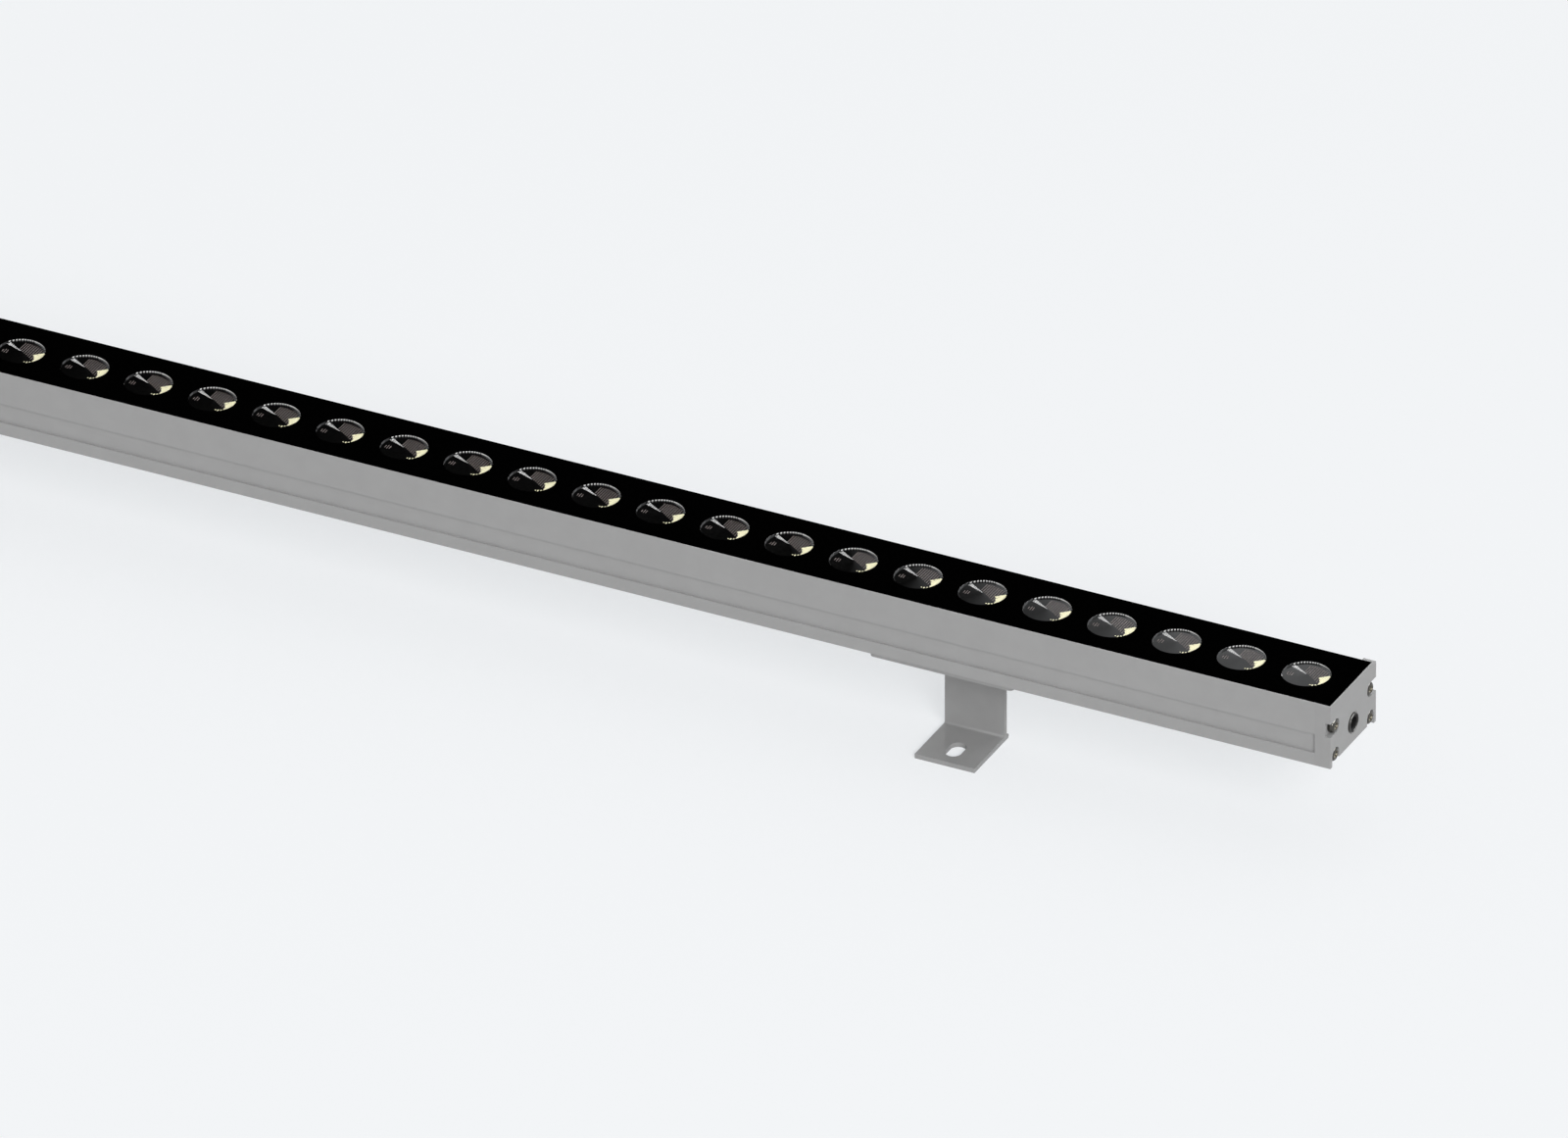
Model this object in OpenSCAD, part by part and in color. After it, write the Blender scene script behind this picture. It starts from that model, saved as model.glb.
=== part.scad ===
// Linear wall washer light: an extruded housing with a row of fluted lenses
// in a black cover, two end caps and two brackets that slide along its base.
// X runs along the light, -Y is its front, Z is up, and the origin lies on
// the mounting surface, midway between the brackets.

/* [Housing] */
// Length over both end caps
housing_l = 1000; // [860:1:1400]
// Width of the housing
housing_w = 40; // [38:0.5:48]
// Height of the housing, from the skirts to the cover
housing_h = 27.5; // [26.5:0.1:34]
// Thickness of the side walls behind their channels, and of the skirts
wall_t = 1.7; // [1.5:0.1:2.2]
// Depth of the channel in each side
channel_d = 1; // [0.4:0.1:1.4]
// Height of that channel
channel_h = 8.3; // [4:0.1:10]
// Height of the channel's lower edge above the skirts
channel_z = 5.4; // [4:0.1:7]
// How far the skirts hang below the base
skirt_h = 1.6; // [1.2:0.1:2.4]
// Thickness of the base
base_t = 1.6; // [1.2:0.1:2.2]
// Height of the underside of the shelf that carries the lamp boards
shelf_z = 10.6; // [10:0.1:12]
// Thickness of that shelf
shelf_t = 2; // [1.5:0.1:3]

/* [Cover] */
// Thickness of the black cover
cover_t = 1.5; // [1:0.1:2]
// Width of the rim in front of the cover and at its ends
rim_w = 0.5; // [0.3:0.1:0.8]
// Width of the step behind the cover
rear_step_w = 2.8; // [2:0.1:3.2]
// Depth of that step on the housing
rear_step_d = 2.8; // [2:0.1:3.4]
// How far the end caps lie below the cover along that step
cap_step_d = 0.9; // [0.5:0.1:1.5]
// Length of the lug on each end cap behind the cover
lug_l = 5.3; // [4:0.1:6]
// Thickness of the sealing strips under the cover
seal_t = 0.5; // [0.3:0.1:0.8]
// Width of the sealing strips
seal_w = 1.6; // [1.2:0.1:1.8]

/* [Lenses] */
// Distance from one lens to the next
lens_pitch = 27.47; // [26:0.01:34]
// Least distance from each end to the first lens
lens_margin = 18; // [18:0.1:24]
// Diameter of a lens
lens_d = 19; // [17:0.1:19.6]
// How far a lens's face lies below the cover's
lens_drop = 0.4; // [0:0.1:1]
// Thickness of the lens's round flange
lens_flange_t = 2.7; // [2.2:0.1:3.4]
// Diameter of a lens at its foot
lens_foot_d = 7.6; // [7:0.1:9]
// Diameter of the well over the lamp
lens_well_d = 5; // [4.6:0.1:5.6]
// Wall of the cup that holds a lens
cup_wall = 1.3; // [1:0.1:1.5]
// Floor of that cup
cup_floor_t = 1; // [0.8:0.1:1.4]

/* [Lamp boards] */
// Width of a lamp board
board_w = 24; // [22:0.5:24.5]
// Thickness of a lamp board
board_t = 1.6; // [1:0.1:2]
// Gap between the two boards
board_gap = 7; // [5:0.5:8]
// Side of a lamp's square package
lamp_w = 3.5; // [3:0.1:3.8]
// Height of that package
lamp_h = 0.8; // [0.6:0.1:1]
// Diameter of the lamp's dome
dome_d = 3; // [2.4:0.1:3.2]

/* [End caps] */
// Thickness of an end cap
cap_t = 6.7; // [6:0.1:9]
// Depth of the pocket that each screw head lies in
pocket_d = 2.3; // [1.8:0.1:2.6]
// Distance of the cap screws from the sides
screw_inset = 4.7; // [4.6:0.1:5.2]
// Height of the upper screws above the skirts
upper_screw_z = 16.7; // [16.5:0.1:19]
// Height of the lower screws above the skirts
lower_screw_z = 4.1; // [4.1:0.1:5]
// Length of the cap screws under the head
screw_l = 12; // [10:0.5:16]
// Diameter of the head of a cap screw
screw_head_d = 5.8; // [5:0.1:5.8]
// Height of that head
screw_head_h = 2.5; // [2:0.1:2.8]
// Thickness of the end gasket
gasket_t = 1; // [0.6:0.1:1.4]

/* [Cable inlets] */
// Height of the cable inlets above the skirts
inlet_z = 10.1; // [9.8:0.1:12]
// Diameter of the metal ring in each inlet
ring_d = 7.8; // [7.4:0.1:9]
// Width of that ring
ring_w = 0.6; // [0.5:0.1:0.8]
// How far the ring stands out of the cap
ring_proud = 0.5; // [0.1:0.1:0.8]
// Depth of the seat for the ring and its seal
inlet_seat_d = 3; // [2.5:0.1:4]
// Thickness of the inlet's seal
inlet_seal_t = 0.6; // [0.4:0.1:1]
// Diameter of the hole for the cable
cable_d = 4.8; // [3.5:0.1:4.8]

/* [Brackets] */
// Height of a bracket from foot to top plate
bracket_h = 44.9; // [30:0.1:80]
// Thickness of the bracket's plates
bracket_t = 2; // [1.8:0.1:3]
// Width of the foot and the web
bracket_w = 25.5; // [20:0.5:34]
// Length of the foot, front to back
foot_l = 30; // [28:0.5:40]
// How far the heel stands out behind the web
heel_l = 1.8; // [1.4:0.1:3]
// Length of the top plate along the light
plate_l = 61; // [56:0.5:80]
// Width of the top plate across the light
plate_w = 37.2; // [30:0.1:37.8]
// Radius of the top plate's corners
plate_corner_r = 2; // [1:0.1:4]
// Width of the slot in the foot
slot_w = 6.6; // [4:0.1:8]
// Length of the slot in the foot
slot_l = 10.8; // [9:0.1:14]
// Distance of the slot's centre from the front of the foot
slot_inset = 9.8; // [9:0.1:12]
// Distance of each bracket's centre from the light's end
bracket_inset = 166; // [120:1:240]

/* [Sliding nuts] */
// Width of the groove that the nuts slide in
groove_w = 8; // [7.5:0.1:9]
// Height of that groove
groove_h = 3; // [2.8:0.1:3.4]
// Width of the groove's mouth
mouth_w = 4.6; // [4.4:0.1:5]
// Thickness of the lips beside the mouth
lip_t = 1.2; // [1:0.1:1.5]
// Length of a sliding nut
nut_l = 7; // [6:0.1:10]
// Thickness of a sliding nut
nut_t = 2.6; // [2.2:0.1:2.7]
// Distance between the two nuts of a bracket
nut_spacing = 40; // [34:1:44]
// Diameter of the bracket screws
bracket_screw_d = 4; // [3.5:0.1:4]

/* [Driver] */
// Length of the driver board
driver_l = 180; // [140:1:240]
// Width of the driver board
driver_w = 20; // [18:0.5:21]
// Thickness of the driver board
driver_t = 1.2; // [0.8:0.1:1.6]
// Thickness of the film under it
film_t = 0.3; // [0.2:0.1:0.5]

/* [Hidden] */
$fn = 48;

// Extra length of a cutting tool past the face that it cuts
over = 1;
// Clearance between pieces that slide or turn in each other
slide_gap = 0.1;
// Clearance of a screw or a plug in its own hole
fit_gap = 0.05;
// Clearance of a lens in the cover's hole
lens_gap = 0.2;

// Levels above the mounting surface
base_z = bracket_h + slide_gap;
top_z = base_z + housing_h;
cover_z = top_z - cover_t;
seat_z = cover_z - seal_t;
floor_z = skirt_h + base_t;
board_z = base_z + shelf_z + shelf_t;
lamp_z = board_z + board_t;

// Widths of the housing's inside and of the cover
inner_w = housing_w - 2 * (wall_t + channel_d);
cover_w = housing_w - rim_w - rear_step_w;
cover_y = rim_w - housing_w / 2;
rear_y = cover_y + cover_w;
// Middle of the cover, which the row of lenses follows
row_y = cover_y + cover_w / 2;
// Lip behind the cover, and how far it lies below the cover's face
rear_lip_w = 0.5;
rear_lip_drop = 0.3;
// Shelf under the cover's rear edge
rear_ledge_w = 2.3;
rear_ledge_t = 1.5;
seal_margin = 0.3;

body_l = housing_l - 2 * cap_t;
end_x = housing_l / 2;
bracket_x = end_x - bracket_inset;
cap_x = end_x - cap_t;

// Screw bosses of the housing
screw_y = housing_w / 2 - screw_inset;
screw_r = 1.5;
boss_r = 2.5;
pocket_r = screw_inset - wall_t;
screw_hole_r = 1.7;
recess_l = 3;
recess_w = 0.7;
recess_d = 1;
head_rim_share = 0.6;
head_top_share = 0.7;

// Groove rail under the base
rail_wall = 1.4;
rail_roof_t = 1.2;
rail_h = lip_t + groove_h + rail_roof_t;
rail_w = groove_w + 2 * rail_wall;

// Lenses stand in cups on the lamp boards, in pairs about the middle
lens_pairs = floor((housing_l / 2 - lens_margin) / lens_pitch + 1 / 2);
cup_ledge_share = 0.7;
cup_inner_r = lens_d / 2 - cup_ledge_share * cup_wall;
cup_outer_r = cup_inner_r + cup_wall;
face_z = top_z - lens_drop;
cup_top_z = face_z - lens_flange_t;
cup_gap = 0.3;
cup_hole_r = lens_foot_d / 2 + cup_gap;
lens_foot_z = lamp_z + cup_floor_t + cup_gap;
lens_well_h = 4.2;
well_top_r = 1.6;
board_end_gap = 2;
board_screw_d = 2.5;
board_screw_head_d = 4.4;
board_screw_head_h = 1.6;
// The gaps between lenses, counted from the middle, that hold a board screw
board_screw_gaps = [2, floor(lens_pairs / 2), lens_pairs - 2];

// Gasket between each cap and the housing
gasket_margin = 1.1;
gasket_low = 0.4;
gasket_window_y = 11;
gasket_window_low = 4.6;
gasket_window_high = 3;

// Inlet: a ring in its seat, a seal behind it and a grommet through both
seat_gap = 0.1;
seat_chamfer = 0.5;
inlet_shoulder_w = 0.8;
inlet_neck_r = ring_d / 2 - inlet_shoulder_w;
grommet_back = 1;
grommet_recess = 0.3;
shelf_notch_l = 20;
shelf_notch_w = 10;

// Bracket details
web_y = foot_l / 2 - heel_l - bracket_t;
bend_r = 1;
head_d = 8;
head_h = 2.4;
washer_t = 0.9;
washer_d = 7.6;
drive_w = 3;
drive_d = 1.2;
nut_side_gap = 0.2;

// Driver parts
driver_z = base_z + rail_h + film_t;
driver_top = driver_z + driver_t;
choke_shares = [-0.14, 0.06, 0.2];
choke_w = 9;
choke_h = 2.8;
capacitor_inset = 20;
capacitor_step = 12;
capacitor_w = 6;
capacitor_h = 2.4;
terminal_l = 9;
terminal_w = 14;
terminal_h = 2.9;
lead_inset = 1.5;
lead_x = board_gap / 2 + lead_inset;
lead_y = 8;
lead_r = 0.6;
lead_hole_r = 1.2;

housing_grey = [0.56, 0.56, 0.57];
bracket_grey = [0.52, 0.52, 0.53];
cover_black = [0.02, 0.02, 0.02];
seal_grey = [0.2, 0.2, 0.21];
steel = [0.72, 0.71, 0.68];
clear = [0.3, 0.3, 0.3];
cup_black = [0.05, 0.05, 0.05];
board_white = [0.85, 0.86, 0.84];
lamp_white = [0.92, 0.92, 0.88];
dome_yellow = [0.93, 0.82, 0.35];
driver_green = [0.1, 0.32, 0.18];
part_dark = [0.12, 0.12, 0.13];

function lens_x(i) = (i + 1 / 2) * lens_pitch;
function side_sign(side) = side == "left" ? -1 : 1;

// A profile drawn in Y and Z, run along X
module along_x(x, length) {
    translate([x, 0, 0]) rotate([90, 0, 90]) linear_extrude(length) children();
}

// A round bar along X, from x to x + length
module bar_x(x, length, r) {
    translate([x, 0, 0]) rotate([0, 90, 0]) cylinder(h = length, r = r);
}

// Whatever is drawn for the right end, put at the named end
module at_end(side) {
    mirror([side == "left" ? 1 : 0, 0, 0]) children();
}

module at_cap_screws() {
    for (s = [-1, 1], z = [upper_screw_z, lower_screw_z])
        translate([0, s * screw_y, base_z + z]) children();
}

module at_lenses() {
    for (s = [-1, 1], i = [0 : lens_pairs - 1])
        translate([s * lens_x(i), row_y, 0]) children();
}

module at_board_screws() {
    for (s = [-1, 1], k = board_screw_gaps)
        translate([s * k * lens_pitch, row_y, 0]) children();
}

module at_lead_places() {
    for (sx = [-1, 1], sy = [-1, 1])
        translate([sx * lead_x, sy * lead_y, 0]) children();
}

// Housing: one extrusion with two chambers, screw bosses and a groove rail
module housing_walls() {
    difference() {
        translate([-housing_w / 2, 0]) square([housing_w, housing_h]);
        for (s = [-1, 1])
            translate([s * housing_w / 2 - channel_d, channel_z])
                square([2 * channel_d, channel_h]);
        translate([-housing_w / 2 + wall_t, -over])
            square([housing_w - 2 * wall_t, skirt_h + over]);
        translate([cover_y, housing_h - cover_t - seal_t])
            square([cover_w, cover_t + seal_t + over]);
        translate([rear_y + rear_lip_w, housing_h - rear_step_d])
            square([rear_step_w, rear_step_d + over]);
        translate([rear_y - over, housing_h - rear_lip_drop])
            square([rear_step_w + 2 * over, rear_lip_drop + over]);
        translate([-inner_w / 2, floor_z])
            square([inner_w, shelf_z - floor_z]);
        translate([-inner_w / 2, shelf_z + shelf_t])
            square([inner_w, housing_h - shelf_z - shelf_t + over]);
    }
    translate([rear_y - rear_ledge_w, housing_h - cover_t - seal_t - rear_ledge_t])
        square([rear_ledge_w + rear_lip_w, rear_ledge_t]);
    translate([rear_y, housing_h - cover_t - seal_t - rear_ledge_t])
        square([rear_lip_w, rear_ledge_t + seal_t + cover_t - rear_lip_drop]);
}

module housing_bosses() {
    for (s = [-1, 1], z = [upper_screw_z, lower_screw_z]) {
        translate([s * screw_y, z]) circle(r = boss_r);
        translate([s > 0 ? screw_y : -inner_w / 2 - over, z - boss_r])
            square([inner_w / 2 + over - screw_y, 2 * boss_r]);
    }
}

module housing_profile() {
    difference() {
        union() {
            housing_walls();
            housing_bosses();
            translate([-rail_w / 2, 0]) square([rail_w, rail_h]);
        }
        translate([-groove_w / 2, lip_t]) square([groove_w, groove_h]);
        translate([-mouth_w / 2, -over]) square([mouth_w, lip_t + 2 * over]);
        for (s = [-1, 1], z = [upper_screw_z, lower_screw_z])
            translate([s * screw_y, z]) circle(r = screw_r + fit_gap);
    }
}

module housing() {
    color(housing_grey) difference() {
        translate([0, 0, base_z]) along_x(-body_l / 2, body_l) housing_profile();
        for (s = [0, 1]) mirror([s, 0, 0])
            translate([cap_x - shelf_notch_l, -shelf_notch_w / 2, base_z + shelf_z - over])
                cube([shelf_notch_l + over, shelf_notch_w, shelf_t + 2 * over]);
        at_board_screws() translate([0, 0, board_z - shelf_t - over])
            cylinder(h = shelf_t + 2 * over, d = board_screw_d + 2 * fit_gap);
        at_lead_places() translate([0, 0, board_z - shelf_t - over])
            cylinder(h = shelf_t + 2 * over, r = lead_hole_r);
    }
}

// End caps, drawn for the right end
module cap_outline() {
    difference() {
        translate([-housing_w / 2, 0]) square([housing_w, housing_h]);
        translate([-housing_w / 2 + wall_t, -over])
            square([housing_w - 2 * wall_t, skirt_h + over]);
        translate([rear_y, housing_h - cap_step_d])
            square([rear_step_w + over, cap_step_d + over]);
    }
}

module screw_pocket(y, z, downwards) {
    translate([0, y, base_z + z]) {
        bar_x(end_x - pocket_d, pocket_d + over, pocket_r);
        bar_x(cap_x - over, cap_t + 2 * over, screw_hole_r);
        if (downwards)
            translate([end_x - pocket_d, -pocket_r, -z - over])
                cube([pocket_d + over, 2 * pocket_r, z + over]);
        else
            translate([end_x - pocket_d, y > 0 ? 0 : -screw_inset - over, -pocket_r])
                cube([pocket_d + over, screw_inset + over, 2 * pocket_r]);
    }
}

module gasket_outline() {
    difference() {
        translate([gasket_margin - housing_w / 2, skirt_h + gasket_low])
            square([housing_w - 2 * gasket_margin,
                housing_h - cover_t - seal_t - skirt_h - 2 * gasket_low]);
        translate([-gasket_window_y, gasket_window_low])
            square([2 * gasket_window_y,
                housing_h - cover_t - gasket_window_high - gasket_window_low]);
    }
}

module end_cap() {
    color(housing_grey) difference() {
        translate([0, 0, base_z]) along_x(cap_x, cap_t) cap_outline();
        translate([cap_x - over, cover_y, cover_z])
            cube([cap_t - rim_w + over, cover_w, cover_t + over]);
        translate([cap_x - over, rear_y + rear_lip_w, top_z - rear_step_d])
            cube([cap_t - lug_l + over, rear_step_w, rear_step_d + over]);
        for (s = [-1, 1]) {
            screw_pocket(s * screw_y, upper_screw_z, false);
            screw_pocket(s * screw_y, lower_screw_z, true);
        }
        translate([0, 0, base_z]) along_x(cap_x - over, gasket_t + over) gasket_outline();
        translate([0, 0, base_z + inlet_z]) {
            bar_x(cap_x - over, cap_t + 2 * over, inlet_neck_r);
            bar_x(end_x - inlet_seat_d, inlet_seat_d + over, ring_d / 2 + seat_gap);
            translate([end_x - seat_chamfer, 0, 0]) rotate([0, 90, 0])
                cylinder(h = 2 * seat_chamfer, r1 = ring_d / 2 + seat_gap,
                    r2 = ring_d / 2 + seat_gap + 2 * seat_chamfer);
        }
    }
}

module end_gasket() {
    color(seal_grey) difference() {
        translate([0, 0, base_z]) along_x(cap_x, gasket_t) gasket_outline();
        at_cap_screws() bar_x(cap_x - over, gasket_t + 2 * over, screw_hole_r);
    }
}

module cap_screw() {
    seat_x = end_x - pocket_d;
    difference() {
        union() {
            bar_x(seat_x - screw_l, screw_l, screw_r);
            bar_x(seat_x, head_rim_share * screw_head_h, screw_head_d / 2);
            translate([seat_x + head_rim_share * screw_head_h, 0, 0]) rotate([0, 90, 0])
                cylinder(h = (1 - head_rim_share) * screw_head_h,
                    d1 = screw_head_d, d2 = head_top_share * screw_head_d);
        }
        for (a = [0, 90]) rotate([a, 0, 0])
            translate([seat_x + screw_head_h - recess_d, -recess_l / 2, -recess_w / 2])
                cube([recess_d + over, recess_l, recess_w]);
    }
}

module cap_screws() {
    color(steel) for (side = ["left", "right"]) at_end(side) at_cap_screws() cap_screw();
}

// Cover and its sealing strips
module front_cover() {
    color(cover_black) difference() {
        translate([rim_w - end_x, cover_y, cover_z])
            cube([housing_l - 2 * rim_w, cover_w, cover_t]);
        at_lenses() translate([0, 0, cover_z - over])
            cylinder(h = cover_t + 2 * over, d = lens_d + 2 * lens_gap);
    }
}

module cover_seal(y) {
    color(seal_grey) translate([-body_l / 2, y, seat_z]) cube([body_l, seal_w, seal_t]);
}

// Lenses, their cups and the lamps under them
module lens_outline() {
    polygon([
        [well_top_r, lens_foot_z + lens_well_h],
        [0, lens_foot_z + lens_well_h],
        [0, face_z],
        [lens_d / 2, face_z],
        [lens_d / 2, cup_top_z],
        [cup_inner_r - cup_gap, cup_top_z],
        [lens_foot_d / 2, lens_foot_z],
        [lens_well_d / 2, lens_foot_z]]);
}

module lenses() {
    color(clear) at_lenses() rotate_extrude() lens_outline();
}

module lens_cups() {
    color(cup_black) at_lenses() difference() {
        translate([0, 0, lamp_z]) cylinder(h = cup_top_z - lamp_z, r = cup_outer_r);
        translate([0, 0, lamp_z + cup_floor_t])
            cylinder(h = cup_top_z - lamp_z, r = cup_inner_r);
        translate([0, 0, lamp_z - over]) cylinder(h = cup_floor_t + 2 * over, r = cup_hole_r);
    }
}

module led_packages() {
    color(lamp_white) at_lenses()
        translate([-lamp_w / 2, -lamp_w / 2, lamp_z]) cube([lamp_w, lamp_w, lamp_h]);
}

module led_domes() {
    color(dome_yellow) at_lenses() translate([0, 0, lamp_z + lamp_h]) difference() {
        sphere(d = dome_d);
        translate([-dome_d, -dome_d, -dome_d]) cube([2 * dome_d, 2 * dome_d, dome_d]);
    }
}

// Lamp boards, drawn for the right half
module led_board() {
    board_l = cap_x - board_end_gap - board_gap / 2;
    color(board_white) difference() {
        translate([board_gap / 2, row_y - board_w / 2, board_z])
            cube([board_l, board_w, board_t]);
        at_board_screws() translate([0, 0, board_z - over])
            cylinder(h = board_t + 2 * over, d = board_screw_d + 4 * fit_gap);
    }
}

module board_screws() {
    color(steel) at_board_screws() {
        translate([0, 0, lamp_z]) cylinder(h = board_screw_head_h, d = board_screw_head_d);
        translate([0, 0, board_z - shelf_t])
            cylinder(h = shelf_t + board_t, d = board_screw_d);
    }
}

// Driver in the lower chamber
module driver_film() {
    color(part_dark) translate([-driver_l / 2, -rail_w / 2, base_z + rail_h])
        cube([driver_l, rail_w, film_t]);
}

module driver_board() {
    color(driver_green) translate([-driver_l / 2, -driver_w / 2, driver_z])
        cube([driver_l, driver_w, driver_t]);
}

module driver_chokes() {
    color(part_dark) for (share = choke_shares)
        translate([share * driver_l - choke_w / 2, -choke_w / 2, driver_top])
            cube([choke_w, choke_w, choke_h]);
}

module driver_capacitors() {
    color(dome_yellow) for (s = [-1, 1], k = [0, 1])
        translate([s * (driver_l / 2 - capacitor_inset - k * capacitor_step), 0, driver_top])
            translate([-capacitor_w / 2, -capacitor_w / 2, 0])
                cube([capacitor_w, capacitor_w, capacitor_h]);
}

module terminal_blocks() {
    color(part_dark) for (side = ["left", "right"]) at_end(side) difference() {
        translate([driver_l / 2 - terminal_l, -terminal_w / 2, driver_top])
            cube([terminal_l, terminal_w, terminal_h]);
        for (s = [-1, 1]) translate([0, s * terminal_w / 4, driver_top + terminal_h / 2])
            bar_x(driver_l / 2 - terminal_l / 2, terminal_l, terminal_h / 4);
    }
}

module feed_leads() {
    color(steel) at_lead_places() translate([0, 0, driver_top])
        cylinder(h = board_z - driver_top, r = lead_r);
}

// Cable inlets, drawn for the right end
module inlet_ring() {
    x = end_x - inlet_seat_d + inlet_seal_t;
    color(steel) translate([0, 0, base_z + inlet_z]) difference() {
        bar_x(x, end_x + ring_proud - x, ring_d / 2);
        bar_x(x - over, inlet_seat_d + 2 * over, ring_d / 2 - ring_w);
    }
}

module inlet_seal() {
    color(seal_grey) translate([0, 0, base_z + inlet_z]) difference() {
        bar_x(end_x - inlet_seat_d, inlet_seal_t, ring_d / 2);
        bar_x(end_x - inlet_seat_d - over, inlet_seal_t + 2 * over, inlet_neck_r);
    }
}

module inlet_grommet() {
    face_x = end_x + ring_proud - grommet_recess;
    head_x = end_x - inlet_seat_d + inlet_seal_t;
    color(cup_black) translate([0, 0, base_z + inlet_z]) difference() {
        union() {
            bar_x(head_x, face_x - head_x, ring_d / 2 - ring_w - fit_gap);
            bar_x(cap_x - grommet_back, head_x - cap_x + grommet_back, inlet_neck_r - fit_gap);
        }
        bar_x(cap_x - grommet_back - over, cap_t + grommet_back + 3 * over, cable_d / 2);
    }
}

// Brackets and what clamps them
module rounded_plate(length, width, r) {
    for (c = [[length - 2 * r, width], [length, width - 2 * r]])
        translate([-c[0] / 2, -c[1] / 2]) square(c);
    for (sx = [-1, 1], sy = [-1, 1])
        translate([sx * (length / 2 - r), sy * (width / 2 - r)]) circle(r = r);
}

module foot_slot() {
    straight = slot_l - slot_w;
    translate([0, slot_inset - foot_l / 2, -over]) {
        translate([-slot_w / 2, -straight / 2, 0])
            cube([slot_w, straight, bracket_t + 2 * over]);
        for (s = [-1, 1]) translate([0, s * straight / 2, 0])
            cylinder(h = bracket_t + 2 * over, d = slot_w);
    }
}

module bracket(x) {
    color(bracket_grey) translate([x, 0, 0]) difference() {
        union() {
            translate([-bracket_w / 2, -foot_l / 2, 0])
                cube([bracket_w, foot_l - bracket_t / 2, bracket_t]);
            translate([0, foot_l / 2 - bracket_t / 2, bracket_t / 2])
                bar_x(-bracket_w / 2, bracket_w, bracket_t / 2);
            translate([-bracket_w / 2, web_y, 0])
                cube([bracket_w, bracket_t, bracket_h]);
            translate([-bracket_w / 2, web_y - bend_r, bracket_t])
                cube([bracket_w, bend_r, bend_r]);
            translate([0, 0, bracket_h - bracket_t]) linear_extrude(bracket_t)
                rounded_plate(plate_l, plate_w, plate_corner_r);
        }
        translate([0, web_y - bend_r, bracket_t + bend_r])
            bar_x(-bracket_w / 2 - over, bracket_w + 2 * over, bend_r);
        foot_slot();
        for (s = [-1, 1]) translate([s * nut_spacing / 2, 0, bracket_h - bracket_t - over])
            cylinder(h = bracket_t + 2 * over, d = bracket_screw_d + 4 * slide_gap);
    }
}

module at_nuts(x) {
    for (s = [-1, 1]) translate([x + s * nut_spacing / 2, 0, 0]) children();
}

module sliding_nuts(x) {
    nut_w = groove_w - 2 * nut_side_gap;
    color(steel) at_nuts(x) translate([0, 0, base_z + lip_t + slide_gap]) difference() {
        translate([-nut_l / 2, -nut_w / 2, 0]) cube([nut_l, nut_w, nut_t]);
        translate([0, 0, -over])
            cylinder(h = nut_t + 2 * over, d = bracket_screw_d + 2 * fit_gap);
    }
}

module bracket_washers(x) {
    color(steel) at_nuts(x) translate([0, 0, bracket_h - bracket_t - washer_t]) difference() {
        cylinder(h = washer_t, d = washer_d);
        translate([0, 0, -over])
            cylinder(h = washer_t + 2 * over, d = bracket_screw_d + 4 * fit_gap);
    }
}

module bracket_screws(x) {
    head_z = bracket_h - bracket_t - washer_t - head_h;
    shank_l = base_z + lip_t + slide_gap + nut_t - head_z - head_h;
    color(steel) at_nuts(x) translate([0, 0, head_z]) difference() {
        union() {
            cylinder(h = head_h, d = head_d);
            translate([0, 0, head_h]) cylinder(h = shank_l, d = bracket_screw_d);
        }
        translate([0, 0, -over]) cylinder(h = drive_d + over, d = drive_w, $fn = 6);
    }
}

housing();
at_end("left") end_cap();  // end_cap_left
at_end("right") end_cap();  // end_cap_right
at_end("left") end_gasket();  // end_gasket_left
at_end("right") end_gasket();  // end_gasket_right
cap_screws();
front_cover();
cover_seal(cover_y + seal_margin);  // cover_seal_front
cover_seal(rear_y - seal_margin - seal_w);  // cover_seal_rear
lenses();
lens_cups();
at_end("left") led_board();  // led_board_left
at_end("right") led_board();  // led_board_right
led_packages();
led_domes();
board_screws();
driver_film();
driver_board();
driver_chokes();
driver_capacitors();
terminal_blocks();
feed_leads();
at_end("left") inlet_ring();  // inlet_ring_left
at_end("right") inlet_ring();  // inlet_ring_right
at_end("left") inlet_seal();  // inlet_seal_left
at_end("right") inlet_seal();  // inlet_seal_right
at_end("left") inlet_grommet();  // inlet_grommet_left
at_end("right") inlet_grommet();  // inlet_grommet_right
bracket(-bracket_x);  // bracket_left
bracket(bracket_x);  // bracket_right
sliding_nuts(-bracket_x);  // sliding_nuts_left
sliding_nuts(bracket_x);  // sliding_nuts_right
bracket_screws(-bracket_x);  // bracket_screws_left
bracket_screws(bracket_x);  // bracket_screws_right
bracket_washers(-bracket_x);  // bracket_washers_left
bracket_washers(bracket_x);  // bracket_washers_right
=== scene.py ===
"""Looks of a linear outdoor wall washer light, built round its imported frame."""
import math

import bmesh
import bpy
from mathutils import Matrix, Vector


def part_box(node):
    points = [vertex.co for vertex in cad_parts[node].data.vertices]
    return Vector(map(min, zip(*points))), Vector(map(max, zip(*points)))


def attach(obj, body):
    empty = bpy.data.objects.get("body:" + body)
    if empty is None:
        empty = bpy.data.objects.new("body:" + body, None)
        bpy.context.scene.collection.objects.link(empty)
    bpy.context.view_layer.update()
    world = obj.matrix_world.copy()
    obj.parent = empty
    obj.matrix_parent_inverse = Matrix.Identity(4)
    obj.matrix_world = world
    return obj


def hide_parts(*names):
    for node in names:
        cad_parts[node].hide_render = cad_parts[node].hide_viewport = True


MM = 0.001
SIDES = ("left", "right")

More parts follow.
